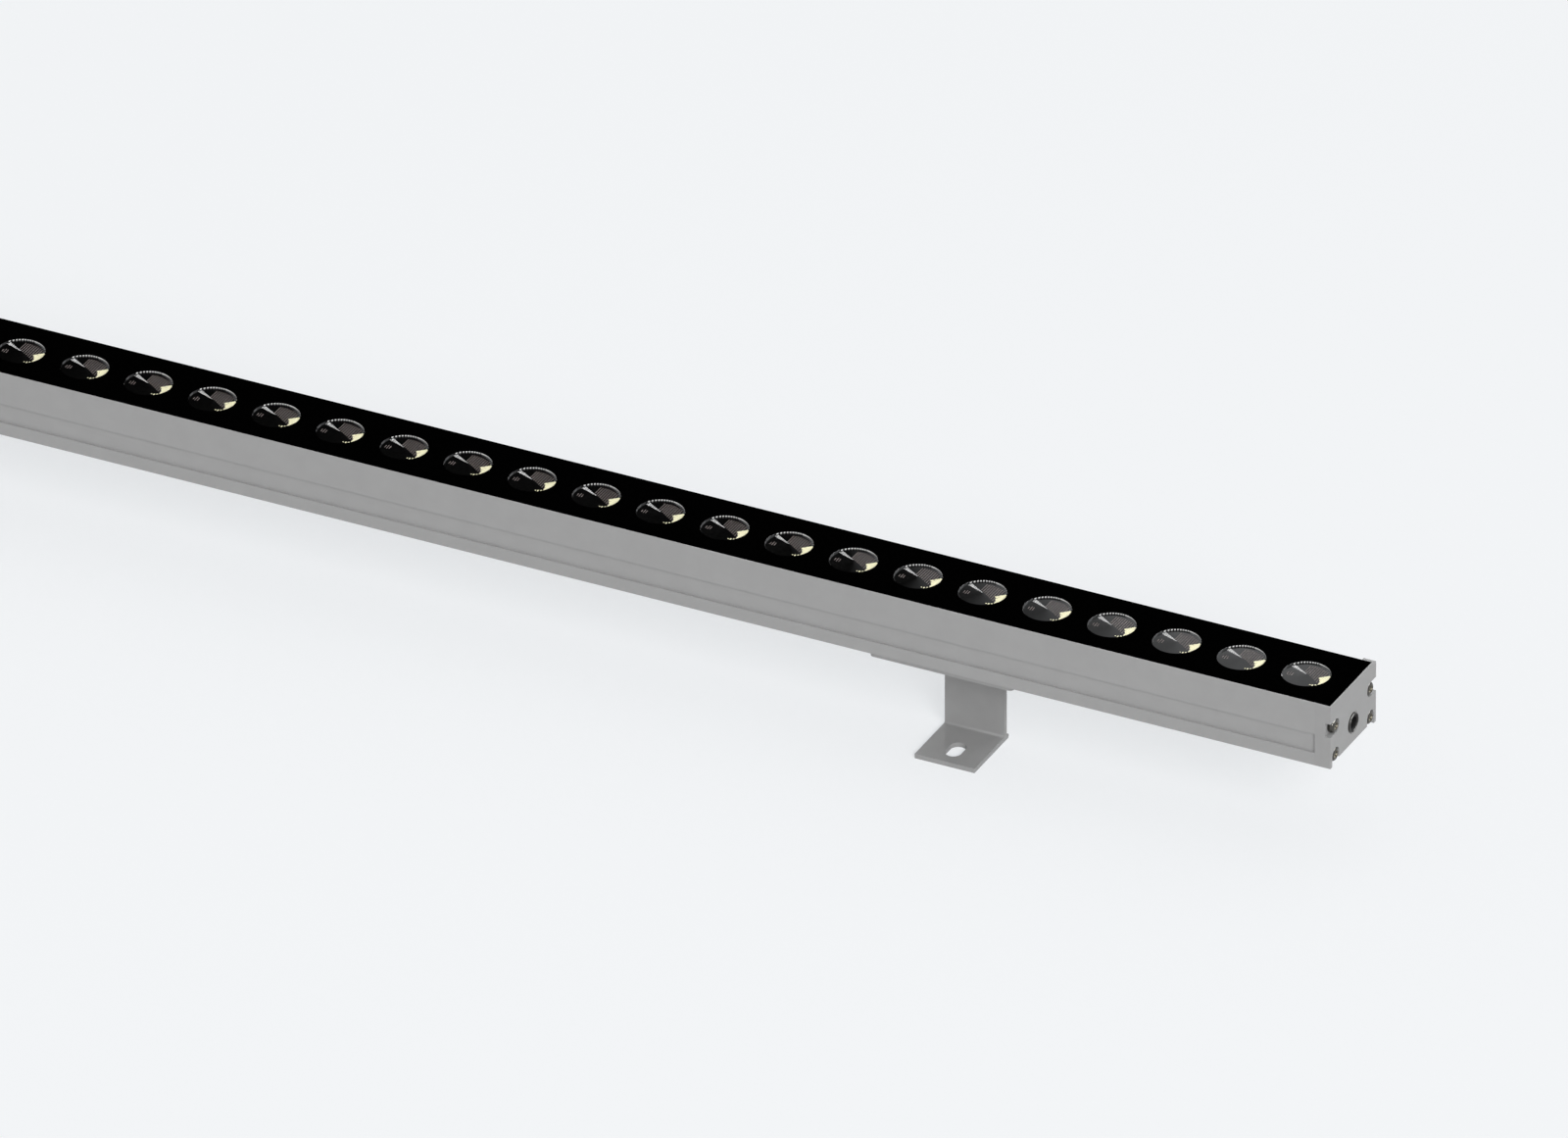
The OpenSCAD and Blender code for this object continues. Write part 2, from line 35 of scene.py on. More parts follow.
# View of the photograph: its size, its angles and the pixel of one corner
PHOTO_W = 1600
PHOTO_H = 1161
VIEW_AZIMUTH = math.radians(26.2)
VIEW_ELEVATION = math.radians(30.7)
PIXELS_PER_M = 2671.7
CORNER_PIXEL = (1356.2, 721.2)
CAMERA_LENS = 1240
CAMERA_SENSOR = 36
CLIP_START = 0.1
CLIP_END_SHARE = 3
# Depth behind the corner at which the long lens has the photograph's scale
TRUE_SCALE_DEPTH = 0.06

# Light: an even surround, a large soft lamp in front, a small one behind that lights gloss
# alone, and a bright ceiling in the world that only the background's rays see
SURROUND = 0.45
LAMP_DISTANCE = 20
KEY_DIRECTION = (0.6, -0.62, 0.5)
KEY_SIZE = 9
KEY_RADIANCE = 12
REAR_DIRECTION = (-0.3796, 0.7716, 0.5105)
REAR_ANGLE = math.radians(3)
REAR_IRRADIANCE = 0.42
CEILING = 12
CEILING_DIRECTION = (0.32, 0.3, 0.9)
CEILING_EDGE = (0.7, 0.8)

# A card behind the light that only polished surfaces mirror: black towards its left, and
# as pale as the background at its right end
CARD_X = (-1.6, 0.16)
CARD_Y = 0.617
CARD_Z = (0.05, 1.2)
CARD_FADE = (-0.03, 0.14)

# Floor and background
FLOOR_HALF = 40
BACKGROUND = (0.896, 0.913, 0.93)
FLOOR_COLOR = (0.9, 0.9, 0.905)
FLOOR_GLOW = (1.16, 1.198, 1.231)
FLOOR_SHADOW_SHARE = 0.55

# Noise values at which a varied colour reaches its darkest and its lightest shade
SHADE_ENDS = (0.3, 0.7)
ACRYLIC_IOR = 1.49

# Rim of a lens: a narrow brim, then a low wall that the flutes cut into teeth
RIM_W = 0.08 * MM
RIM_SLOPE_DROP = 0.02 * MM
RIM_DEPTH = 0.5 * MM
TOOTH_START = -8.95 * MM
TOOTH_W = 0.5 * MM
TOOTH_D = 0.1 * MM
# Extra points that keep the left and right ends of the rim round, as shares of the gap
END_SHARES = (-0.6, -0.2, 0.2, 0.6)
# Part of the rim, in degrees from +X, whose wall is painted all over as a highlight band with
# painted shade inside it, and the angle where the teeth's painted highlights end
HIGHLIGHT_BAND_RIM = (22, 80)
TOOTH_HIGHLIGHT_END = 149
# Rings of a lens face from the rim inwards, as shares of its radius
FACE_SHARES = (0.955, 0.9, 0.75, 0.6, 0.45, 0.3, 0.15)
FACE_RISE = 0.5 * MM
FLANGE_T = 2.7 * MM
LENS_FOOT_RADIUS = 3.8 * MM
POSITION_DIGITS = 5

# Moulded ribs of a lens face, which run front to back: the field of ribs, whose paler colour is
# painted sheen, with its slopes in plan, and the short ribs left of it, also with painted sheen,
# each by its start and its two ends, in millimetres
RIB_PITCH = 1.0 * MM
RIB_W = 0.28 * MM
RIB_LIFT = 0.04 * MM
RIB_STEPS = 6
FIELD_X = (-1.5 * MM, 7.5 * MM)
FIELD_LOW_SLOPE = -0.64
FIELD_HIGH_SHARE = 0.74
SHORT_RIBS = [(-7.2, -2.6, -0.9), (-6.2, -3.1, -0.4), (-5.2, -3.0, -0.9)]
# Flat-topped ribs that widen from the middle to the rim and mirror the lamp behind
STREAK_X = (-8.1 * MM, -0.3 * MM)
STREAK_REACH = 9.2 * MM
STREAK_SLOPE = -0.566
STREAK_SPREAD = 0.127
STREAK_HALF_W = 0.12 * MM
STREAK_RIB_W = 0.78 * MM
# Ribs with a painted glow, the LED's yellow as seen through the lens, fixed to one side: each by
# its start and its two ends, in millimetres
PAINTED_GLOW_W = 0.45 * MM
PAINTED_GLOW_RIBS = [
    (4.1, -6.2, -5.8), (5.1, -6.4, -5.4), (6.1, -6.3, -4.9), (5.3, -0.5, 0.2),
    (5.7, -0.8, 0.6), (6.2, -2.0, 1.1), (6.6, -2.5, 1.6), (6.9, -5.8, 1.9),
    (7.4, -5.6, 2.5), (7.9, -5.0, 3.1), (8.4, -3.9, 3.7), (8.8, -2.9, 2.9),
]

# Screw heads: a nearly flat pan with a rolled edge and a cross recess
HEAD_RADIUS = 2.9 * MM
HEAD_HEIGHT = 2.5 * MM
HEAD_RINGS = 24
HEAD_SIDES = 80
HEAD_EDGE = 1.15 * MM
HEAD_DOME = 0.12 * MM
SHANK_RADIUS = 1.45 * MM
CROSS_ARM = 1.6 * MM
CROSS_HALF_W = 0.48 * MM
CROSS_DEPTH = 1.1 * MM
CROSS_RISE = 0.35

# Small rounds on the brackets and inlet rings, at edges sharper than an angle
EDGE_ROUND = 0.12 * MM
RING_ROUND = 0.12 * MM
ROUNDED_ANGLE = math.radians(40)
WELD_DISTANCE = 0.002 * MM
# A face whose normal leans along the light by more than this faces along it
FACE_LIMIT = 0.9

# Finishes of the lens row and of the screws, in the order of their material slots; the lens row's
# glow, line, tooth and gap finishes are painted light: painted glow, painted sheen, painted
# highlight and painted shade
DARK, PAINTED_GLOW, RIB_SHEEN, TOOTH_HIGHLIGHT, PAINTED_SHADE, STREAK = range(6)
HEAD, RECESS = range(2)


def new_material(name, color, roughness, metallic=0.0, specular=0.5):
    material = bpy.data.materials.new(name)
    material.use_nodes = True
    shader = material.node_tree.nodes["Principled BSDF"]
    shader.inputs["Base Color"].default_value = (*color, 1)
    shader.inputs["Roughness"].default_value = roughness
    shader.inputs["Metallic"].default_value = metallic
    shader.inputs["Specular IOR Level"].default_value = specular
    return material, material.node_tree, shader


def object_vector(tree):
    return tree.nodes.new("ShaderNodeTexCoord").outputs["Object"]


def stretched(tree, vector, scale):
    mapping = tree.nodes.new("ShaderNodeMapping")
    mapping.inputs["Scale"].default_value = scale
    tree.links.new(vector, mapping.inputs["Vector"])
    return mapping.outputs["Vector"]


def noise(tree, vector, scale, detail=3.0):
    """Noise whose scale is its number of repeats to the metre."""
    texture = tree.nodes.new("ShaderNodeTexNoise")
    texture.inputs["Scale"].default_value = scale
    texture.inputs["Detail"].default_value = detail
    tree.links.new(vector, texture.inputs["Vector"])
    return texture.outputs["Fac"]


def vary_roughness(tree, shader, value, low, high):
    ranged = tree.nodes.new("ShaderNodeMapRange")
    ranged.inputs["To Min"].default_value = low
    ranged.inputs["To Max"].default_value = high
    tree.links.new(value, ranged.inputs["Value"])
    tree.links.new(ranged.outputs["Result"], shader.inputs["Roughness"])


def vary_color(tree, shader, value, color, variation):
    """Blends from a darker to a lighter shade of a colour as the value rises."""
    ramp = tree.nodes.new("ShaderNodeValToRGB")
    for element, position, share in zip(ramp.color_ramp.elements, SHADE_ENDS, (-1, 1)):
        element.position = position
        element.color = (*(channel * (1 + share * variation) for channel in color), 1)
    tree.links.new(value, ramp.inputs["Fac"])
    tree.links.new(ramp.outputs["Color"], shader.inputs["Base Color"])


def add_bump(tree, shader, height, distance, strength):
    bump = tree.nodes.new("ShaderNodeBump")
    bump.inputs["Distance"].default_value = distance
    bump.inputs["Strength"].default_value = strength
    tree.links.new(height, bump.inputs["Height"])
    tree.links.new(bump.outputs["Normal"], shader.inputs["Normal"])


def powder_coat(name, color, variation, roughness, spread=0.06):
    """Powder coat: a faint mottle in colour and gloss over a tight grain."""
    material, tree, shader = new_material(name, color, roughness, specular=0.25)
    vector = object_vector(tree)
    vary_color(tree, shader, noise(tree, vector, scale=120), color, variation)
    gloss = noise(tree, vector, scale=500)
    vary_roughness(tree, shader, gloss, low=roughness - spread, high=roughness + spread)
    grain = noise(tree, vector, scale=3200, detail=2)
    add_bump(tree, shader, grain, distance=0.02 * MM, strength=0.2)
    return material


def matt_black(name, color):
    """Deep matt black coat with a dusty grain."""
    material, tree, shader = new_material(name, color, roughness=0.95, specular=0.0)
    vector = object_vector(tree)
    vary_color(tree, shader, noise(tree, vector, scale=900), color, variation=0.5)
    grain = noise(tree, vector, scale=5000, detail=2)
    add_bump(tree, shader, grain, distance=0.01 * MM, strength=0.2)
    return material


def bright_metal(name, color, roughness):
    """Turned steel with uneven gloss and a fine lengthwise grain."""
    material, tree, shader = new_material(name, color, roughness, metallic=1.0)
    vector = object_vector(tree)
    gloss = noise(tree, vector, scale=2400)
    vary_roughness(tree, shader, gloss, low=roughness * 0.6, high=roughness * 1.5)
    grain = noise(tree, stretched(tree, vector, (1, 6, 6)), scale=1800, detail=2)
    add_bump(tree, shader, grain, distance=0.006 * MM, strength=0.15)
    return material


def moulded(name, color, roughness, specular=0.5):
    """Moulded plastic or rubber: soft colour drift and a fine skin."""
    material, tree, shader = new_material(name, color, roughness, specular=specular)
    vector = object_vector(tree)
    vary_color(tree, shader, noise(tree, vector, scale=250), color, variation=0.06)
    skin = noise(tree, vector, scale=1200)
    add_bump(tree, shader, skin, distance=0.02 * MM, strength=0.25)
    return material


def lens_plastic(name, color, roughness, variation):
    """Clear moulded plastic over what lies behind it, with a slightly wavy gloss."""
    material, tree, shader = new_material(name, color, roughness)
    shader.inputs["IOR"].default_value = ACRYLIC_IOR
    vector = object_vector(tree)
    vary_color(tree, shader, noise(tree, vector, scale=2200), color, variation)
    gloss = noise(tree, vector, scale=600)
    vary_roughness(tree, shader, gloss, low=roughness * 0.8, high=roughness * 1.3)
    return material


def assign(node, material):
    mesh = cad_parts[node].data
    mesh.materials.clear()
    mesh.materials.append(material)


def assign_face(node, material):
    """Gives the faces across the length of a piece their own material."""
    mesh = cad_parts[node].data
    mesh.materials.append(material)
    for polygon in mesh.polygons:
        if abs(polygon.normal.x) > FACE_LIMIT:
            polygon.material_index = 1


def soften_edges(node, width, segments):
    """Small rounds on a folded or turned piece, so that its edges catch the light."""
    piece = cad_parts[node]
    weld = piece.modifiers.new("weld", "WELD")
    weld.merge_threshold = WELD_DISTANCE
    bevel = piece.modifiers.new("edge_rounds", "BEVEL")
    bevel.width = width
    bevel.segments = segments
    bevel.material = 0
    bevel.limit_method = "ANGLE"
    bevel.angle_limit = ROUNDED_ANGLE


def new_object(name, mesh, materials):
    """Turns a mesh under construction into an object of the scene."""
    data = bpy.data.meshes.new(name)
    mesh.to_mesh(data)
    mesh.free()
    for material in materials:
        data.materials.append(material)
    piece = bpy.data.objects.new(name, data)
    bpy.context.scene.collection.objects.link(piece)
    return piece


def finish_piece(name, mesh, materials, body, node):
    """Turns a mesh into a piece that stands for a node of the frame."""
    piece = new_object(name, mesh, materials)
    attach(piece, body)
    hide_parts(node)


def bridge(mesh, lower, upper, material_index):
    """Faces between two rings, one for each of their sides."""
    faces = []
    for k in range(len(lower)):
        after = (k + 1) % len(lower)
        face = mesh.faces.new((lower[k], lower[after], upper[after], upper[k]))
        face.material_index = material_index
        faces.append(face)
    return faces


def flute_angles(radius):
    """Angles round a rim at which the flutes, which run front to back, reach it."""
    angles = []
    x = TOOTH_START
    while x < radius:
        angles.append(math.acos(x / radius))
        x += TOOTH_W
    back_half = list(reversed(angles))
    right_end = [back_half[0] * share for share in END_SHARES]
    left_gap = math.pi - back_half[-1]
    left_end = [math.pi + left_gap * share for share in END_SHARES]
    return [-angle for angle in angles] + right_end + back_half + left_end


def ring_of(mesh, centre, radius, z, tooth=0.0):
    """A ring with a point for each flank of the rim's teeth."""
    points = []
    for k, angle in enumerate(rim_angles):
        reach = radius - (tooth if k % 2 else 0)
        x = centre.x + reach * math.cos(angle)
        y = centre.y + reach * math.sin(angle)
        points.append(mesh.verts.new((x, y, z)))
    return points


def side_angle(k):
    """Angle, in degrees from +X, of the middle of the k-th side of a ring."""
    if k + 1 < len(rim_angles):
        return math.degrees((rim_angles[k] + rim_angles[k + 1]) / 2)
    return math.degrees((rim_angles[k] + rim_angles[0]) / 2 + math.pi)


def in_highlight_band(k):
    return HIGHLIGHT_BAND_RIM[0] < side_angle(k) < HIGHLIGHT_BAND_RIM[1]


def add_rim_wall(mesh, brim, wall):
    """Painted highlight on every other tooth round most of the rim, painted shade between them,
    and a band of painted highlight in the rest.
    """
    # Wall faces start with painted shade between the teeth
    for k, face in enumerate(bridge(mesh, brim, wall, PAINTED_SHADE)):
        if abs(side_angle(k)) > TOOTH_HIGHLIGHT_END:
            face.material_index = DARK
        # Painted highlight on the teeth and on the band
        elif k % 2 == 0 or in_highlight_band(k):
            face.material_index = TOOTH_HIGHLIGHT


def add_crown(mesh, centre, wall, radius):
    """A low cone from the foot of the rim's wall to the middle of the lens."""
    outer = wall
    for ring, share in enumerate(FACE_SHARES):
        inner = ring_of(mesh, centre, radius * share, centre.z - FACE_RISE * share)
        for k, face in enumerate(bridge(mesh, outer, inner, DARK)):
            shade_notch = ring == 1 and k % 2 == 0
            # Painted shade in the gap inside the highlight band
            if in_highlight_band(k) and (ring == 0 or shade_notch):
                face.material_index = PAINTED_SHADE
        outer = inner
    tip = mesh.verts.new(centre)
    for k in range(len(outer)):
        mesh.faces.new((outer[k], outer[(k + 1) % len(outer)], tip))


def add_rib(mesh, sections, foot_z, material_index):
    """A small bar whose top runs through pairs of points, with its foot in the crown."""
    tops = [[mesh.verts.new(point) for point in pair] for pair in sections]
    feet = [[mesh.verts.new((point.x, point.y, foot_z)) for point in pair] for pair in sections]
    outlines = [(*feet[end], *reversed(tops[end])) for end in (0, -1)]
    for top, next_top, foot, next_foot in zip(tops, tops[1:], feet, feet[1:]):
        outlines.append((*top, *reversed(next_top)))
        for flank in (0, 1):
            outlines.append((foot[flank], next_foot[flank], next_top[flank], top[flank]))
    for outline in outlines:
        mesh.faces.new(outline).material_index = material_index


def add_rib_on_crown(mesh, centre, radius, x, width, low_y, high_y, material_index):
    """A rib whose top follows the crown's slope."""
    half = math.sqrt(max(radius**2 - max(abs(x), abs(x + width)) ** 2, 0))
    low_y = max(low_y, -half)
    high_y = min(high_y, half)
    if high_y <= low_y:
        return
    sections = []
    for step in range(RIB_STEPS + 1):
        y = low_y + (high_y - low_y) * step / RIB_STEPS
        pair = []
        for dx in (x, x + width):
            z = centre.z - FACE_RISE * math.hypot(dx, y) / radius + RIB_LIFT
            pair.append(Vector((centre.x + dx, centre.y + y, z)))
        sections.append(pair)
    add_rib(mesh, sections, centre.z - RIM_DEPTH, material_index)


def add_face_ribs(mesh, centre, radius):
    """The field of ribs and the short ribs left of it, with painted sheen, and the ribs with the
    painted yellow glow.
    """
    x = FIELD_X[0]
    while x < FIELD_X[1]:
        low_y = x * (FIELD_LOW_SLOPE if x > 0 else STREAK_SLOPE - STREAK_SPREAD) + RIB_W
        high_y = FIELD_HIGH_SHARE * math.sqrt(radius**2 - x**2)
        # Paler ribs: painted sheen
        add_rib_on_crown(mesh, centre, radius, x, RIB_W, low_y, high_y, RIB_SHEEN)
        x += RIB_PITCH
    # Short ribs with painted sheen
    for x, low_y, high_y in SHORT_RIBS:
        add_rib_on_crown(mesh, centre, radius, x * MM, RIB_W, low_y * MM, high_y * MM, RIB_SHEEN)
    # Ribs coloured with the painted glow
    for x, low_y, high_y in PAINTED_GLOW_RIBS:
        add_rib_on_crown(mesh, centre, radius, x * MM, PAINTED_GLOW_W, low_y * MM, high_y * MM, PAINTED_GLOW)


def add_streak_ribs(mesh, centre, radius):
    """Level steps down the crown that form a wedge, each wider than the one above it."""
    x = STREAK_X[0]
    while x < STREAK_X[1]:
        rib_middle = x + STREAK_RIB_W / 2
        reach = math.hypot(rib_middle, rib_middle * STREAK_SLOPE)
        z = centre.z - FACE_RISE * reach / radius + RIB_LIFT
        sections = []
        for side in (-1, 1):
            pair = []
            for along in (x, x + STREAK_RIB_W):
                y = along * (STREAK_SLOPE - side * STREAK_SPREAD) + side * STREAK_HALF_W
                y = min(y, math.sqrt(STREAK_REACH**2 - along**2))
                pair.append(Vector((centre.x + along, centre.y + y, z)))
            sections.append(pair)
        add_rib(mesh, sections, centre.z - RIM_DEPTH, STREAK)
        x += RIB_PITCH


def lens_middles():
    """Middles of the lens faces, read from the gaps between the lenses."""
    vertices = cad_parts["lenses"].data.vertices
    points = sorted({round(vertex.co.x, POSITION_DIGITS) for vertex in vertices})
    row_y = (lens_low.y + lens_high.y) / 2
    middles = []
    start = points[0]
    for point, following in zip(points, points[1:] + [math.inf]):
        if following - point > lens_radius / 2:
            middles.append(Vector(((start + point) / 2, row_y, lens_high.z)))
            start = following
    return middles


def make_lenses():
    """The lens row: each lens has a rim with teeth and a ribbed, slightly raised face."""
    mesh = bmesh.new()
    face_radius = lens_radius - RIM_W
    for centre in lens_middles():
        top = centre.z
        foot = ring_of(mesh, centre, LENS_FOOT_RADIUS, lens_low.z)
        under = ring_of(mesh, centre, lens_radius, top - FLANGE_T)
        outer = ring_of(mesh, centre, lens_radius, top)
        brim = ring_of(mesh, centre, face_radius, top - RIM_SLOPE_DROP, TOOTH_D)
        wall = ring_of(mesh, centre, face_radius, top - RIM_DEPTH, TOOTH_D)
        mesh.faces.new(list(reversed(foot)))
        bridge(mesh, foot, under, DARK)
        bridge(mesh, under, outer, DARK)
        bridge(mesh, outer, brim, DARK)
        add_rim_wall(mesh, brim, wall)
        apex = Vector((centre.x, centre.y, top - RIM_DEPTH + FACE_RISE))
        add_crown(mesh, apex, wall, face_radius)
        add_face_ribs(mesh, apex, face_radius)
        add_streak_ribs(mesh, apex, face_radius)
    bmesh.ops.recalc_face_normals(mesh, faces=mesh.faces)
    finishes = [
        lens_plastic("lens_dark", (0.001, 0.001, 0.001), roughness=0.04, variation=0.3),
        # Painted glow: the LED's yellow as seen through the lens, fixed to one side
        lens_plastic("lens_painted_glow", (1.0, 0.95, 0.58), roughness=0.4, variation=0.05),
        # Painted sheen: a paler colour for the ribs where they catch light
        lens_plastic("lens_rib_sheen", (0.128, 0.106, 0.1), roughness=0.8, variation=0.2),
        # Painted highlight on the rim's teeth
        lens_plastic("lens_teeth_highlight", (0.85, 0.85, 0.84), roughness=0.25, variation=0.1),
        # Painted shade: black for the gaps in the rim
        moulded("lens_gap", (0.003, 0.003, 0.003), roughness=0.8),
        lens_plastic("lens_streak", (0.001, 0.001, 0.001), roughness=0.3, variation=0.3),
    ]
    finish_piece("lens_row", mesh, finishes, "light", "lenses")


def screw_places():
    """Tip of each cap screw's head, with the side of the light that it faces."""
    low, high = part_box("cap_screws")
    places = []
    for side in (-1, 1):
        for y in (low.y + HEAD_RADIUS, high.y - HEAD_RADIUS):
            for z in (low.z + HEAD_RADIUS, high.z - HEAD_RADIUS):
                places.append((side, Vector((side * high.x, y, z))))
    return places


def in_cross(y, z):
    upright = abs(y) < CROSS_HALF_W and abs(z) < CROSS_ARM
    return upright or (abs(z) < CROSS_HALF_W and abs(y) < CROSS_ARM)


def head_depth(y, z):
    """How far a point of a screw's head lies below its tip."""
    reach = min(math.hypot(y, z), HEAD_RADIUS)
    roll = max(reach - HEAD_RADIUS + HEAD_EDGE, 0) / HEAD_EDGE
    depth = HEAD_EDGE * (1 - math.sqrt(max(1 - roll**2, 0)))
    depth += HEAD_DOME * (reach / HEAD_RADIUS) ** 2
    if in_cross(y, z):
        floor = CROSS_DEPTH * (1 - CROSS_RISE * max(abs(y), abs(z)) / CROSS_ARM)
        depth = max(depth, floor)
    return depth


def add_screw(mesh, side, tip, shank_end):
    """A turned screw whose axis runs along the light, from the tip of its head inwards."""
    def ring_at(reach, x=None):
        points = []
        for k in range(HEAD_SIDES):
            angle = 2 * math.pi * k / HEAD_SIDES
            y = reach * math.cos(angle)
            z = reach * math.sin(angle)
            at = tip.x - side * head_depth(y, z) if x is None else x
            points.append(mesh.verts.new((at, tip.y + y, tip.z + z)))
        return points

    rings = [ring_at(HEAD_RADIUS * ring / HEAD_RINGS) for ring in range(1, HEAD_RINGS + 1)]
    centre = mesh.verts.new((tip.x - side * CROSS_DEPTH, tip.y, tip.z))
    for k in range(HEAD_SIDES):
        face = mesh.faces.new((centre, rings[0][k], rings[0][(k + 1) % HEAD_SIDES]))
        face.material_index = RECESS
    for ring, (inner, outer) in enumerate(zip(rings, rings[1:])):
        reach = HEAD_RADIUS * (ring + 2) / HEAD_RINGS
        bridge(mesh, inner, outer, RECESS if reach < CROSS_ARM else HEAD)
    seat_x = tip.x - side * HEAD_HEIGHT
    heel = ring_at(HEAD_RADIUS, seat_x)
    neck = ring_at(SHANK_RADIUS, seat_x)
    end = ring_at(SHANK_RADIUS, side * shank_end)
    bridge(mesh, rings[-1], heel, HEAD)
    bridge(mesh, heel, neck, HEAD)
    bridge(mesh, neck, end, HEAD)
    mesh.faces.new(end)


def make_cap_screws():
    """The cap screws, each made by itself so that its normals come out right."""
    mesh = bmesh.new()
    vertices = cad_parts["cap_screws"].data.vertices
    shank_end = min(vertex.co.x for vertex in vertices if vertex.co.x > 0)
    for side, tip in screw_places():
        single = bmesh.new()
        add_screw(single, side, tip, shank_end)
        bmesh.ops.recalc_face_normals(single, faces=single.faces)
        for face in single.faces:
            face.smooth = True
        part = bpy.data.meshes.new("screw")
        single.to_mesh(part)
        single.free()
        mesh.from_mesh(part)
        bpy.data.meshes.remove(part)
    finishes = [
        bright_metal("screw_steel", (0.08, 0.077, 0.07), roughness=0.1),
        bright_metal("screw_recess", (0.1, 0.09, 0.068), roughness=0.5),
    ]
    finish_piece("cap_screw_heads", mesh, finishes, "light", "cap_screws")


def background_rays(tree):
    """1 for the rays that show the background: camera, glossy and transmission rays."""
    path = tree.nodes.new("ShaderNodeLightPath")
    seen = path.outputs["Is Camera Ray"]
    for ray in ("Is Glossy Ray", "Is Transmission Ray"):
        either = tree.nodes.new("ShaderNodeMath")
        either.operation = "MAXIMUM"
        tree.links.new(seen, either.inputs[0])
        tree.links.new(path.outputs[ray], either.inputs[1])
        seen = either.outputs["Value"]
    return seen


def make_quad(name, corners, material):
    mesh = bmesh.new()
    mesh.faces.new([mesh.verts.new(corner) for corner in corners])
    return new_object(name, mesh, [material])


def make_floor():
    """A pale floor that keeps part of the light's shadow."""
    material, tree, shader = new_material("floor_paper", FLOOR_COLOR, roughness=1.0, specular=0.0)
    glow = tree.nodes.new("ShaderNodeEmission")
    glow.inputs["Color"].default_value = (*FLOOR_GLOW, 1)
    share = tree.nodes.new("ShaderNodeMath")
    share.operation = "MULTIPLY"
    share.inputs[1].default_value = 1 - FLOOR_SHADOW_SHARE
    tree.links.new(background_rays(tree), share.inputs[0])
    blend = tree.nodes.new("ShaderNodeMixShader")
    tree.links.new(share.outputs["Value"], blend.inputs["Fac"])
    tree.links.new(shader.outputs["BSDF"], blend.inputs[1])
    tree.links.new(glow.outputs["Emission"], blend.inputs[2])
    tree.links.new(blend.outputs["Shader"], tree.nodes["Material Output"].inputs["Surface"])
    directions = [(-1, -1), (1, -1), (1, 1), (-1, 1)]
    corners = [(x * FLOOR_HALF, y * FLOOR_HALF, 0) for x, y in directions]
    floor = make_quad("floor", corners, material)


def make_card():
    """A studio card that darkens what the lenses away from the right end mirror."""
    material, tree, _ = new_material("card_shade", (0, 0, 0), roughness=1.0)
    place = tree.nodes.new("ShaderNodeSeparateXYZ")
    tree.links.new(object_vector(tree), place.inputs["Vector"])
    fade = tree.nodes.new("ShaderNodeMapRange")
    fade.inputs["From Min"].default_value = CARD_FADE[0]
    fade.inputs["From Max"].default_value = CARD_FADE[1]
    tree.links.new(place.outputs["X"], fade.inputs["Value"])
    shade = tree.nodes.new("ShaderNodeEmission")
    shade.inputs["Color"].default_value = (*BACKGROUND, 1)
    tree.links.new(fade.outputs["Result"], shade.inputs["Strength"])
    tree.links.new(shade.outputs["Emission"], tree.nodes["Material Output"].inputs["Surface"])
    ends = [(0, 0), (1, 0), (1, 1), (0, 1)]
    corners = [(CARD_X[i], CARD_Y, CARD_Z[k]) for i, k in ends]
    card = make_quad("card", corners, material)
    card.visible_camera = False
    card.visible_diffuse = False
    card.visible_transmission = False
    card.visible_shadow = False


def make_world():
    """An even surround, with a pale sky and a bright ceiling for the background's rays."""
    world = bpy.data.worlds.new("studio")
    world.use_nodes = True
    tree = world.node_tree
    surround = tree.nodes["Background"]
    surround.inputs["Color"].default_value = (1, 1, 1, 1)
    surround.inputs["Strength"].default_value = SURROUND
    direction = tree.nodes.new("ShaderNodeVectorMath")
    direction.operation = "DOT_PRODUCT"
    direction.inputs[1].default_value = CEILING_DIRECTION
    tree.links.new(tree.nodes.new("ShaderNodeTexCoord").outputs["Generated"], direction.inputs[0])
    ceiling = tree.nodes.new("ShaderNodeMapRange")
    ceiling.inputs["From Min"].default_value = CEILING_EDGE[0]
    ceiling.inputs["From Max"].default_value = CEILING_EDGE[1]
    ceiling.inputs["To Min"].default_value = 1
    ceiling.inputs["To Max"].default_value = CEILING
    tree.links.new(direction.outputs["Value"], ceiling.inputs["Value"])
    backdrop = tree.nodes.new("ShaderNodeBackground")
    backdrop.inputs["Color"].default_value = (*BACKGROUND, 1)
    tree.links.new(ceiling.outputs["Result"], backdrop.inputs["Strength"])
    blend = tree.nodes.new("ShaderNodeMixShader")
    tree.links.new(background_rays(tree), blend.inputs["Fac"])
    tree.links.new(surround.outputs["Background"], blend.inputs[1])
    tree.links.new(backdrop.outputs["Background"], blend.inputs[2])
    tree.links.new(blend.outputs["Shader"], tree.nodes["World Output"].inputs["Surface"])
    bpy.context.scene.world = world


def place_lamp(name, kind, direction, lights_matt):
    """A lamp that faces the origin, hidden from the camera and, if asked, from matt surfaces."""
    data = bpy.data.lights.new(name, kind)
    lamp = bpy.data.objects.new(name, data)
    bpy.context.scene.collection.objects.link(lamp)
    towards = Vector(direction).normalized()
    turn = towards.to_track_quat("Z", "Y").to_matrix().to_4x4()
    lamp.matrix_world = Matrix.Translation(towards * LAMP_DISTANCE) @ turn
    lamp.visible_camera = False
    lamp.visible_diffuse = lights_matt
    return data


def make_lamps():
    key = place_lamp("key_lamp", "AREA", KEY_DIRECTION, lights_matt=True)
    key.shape = "DISK"
    key.size = KEY_SIZE
    key.energy = KEY_RADIANCE * math.pi * math.pi * (KEY_SIZE / 2) ** 2
    rear = place_lamp("rear_lamp", "SUN", REAR_DIRECTION, lights_matt=False)
    rear.angle = REAR_ANGLE
    rear.energy = REAR_IRRADIANCE


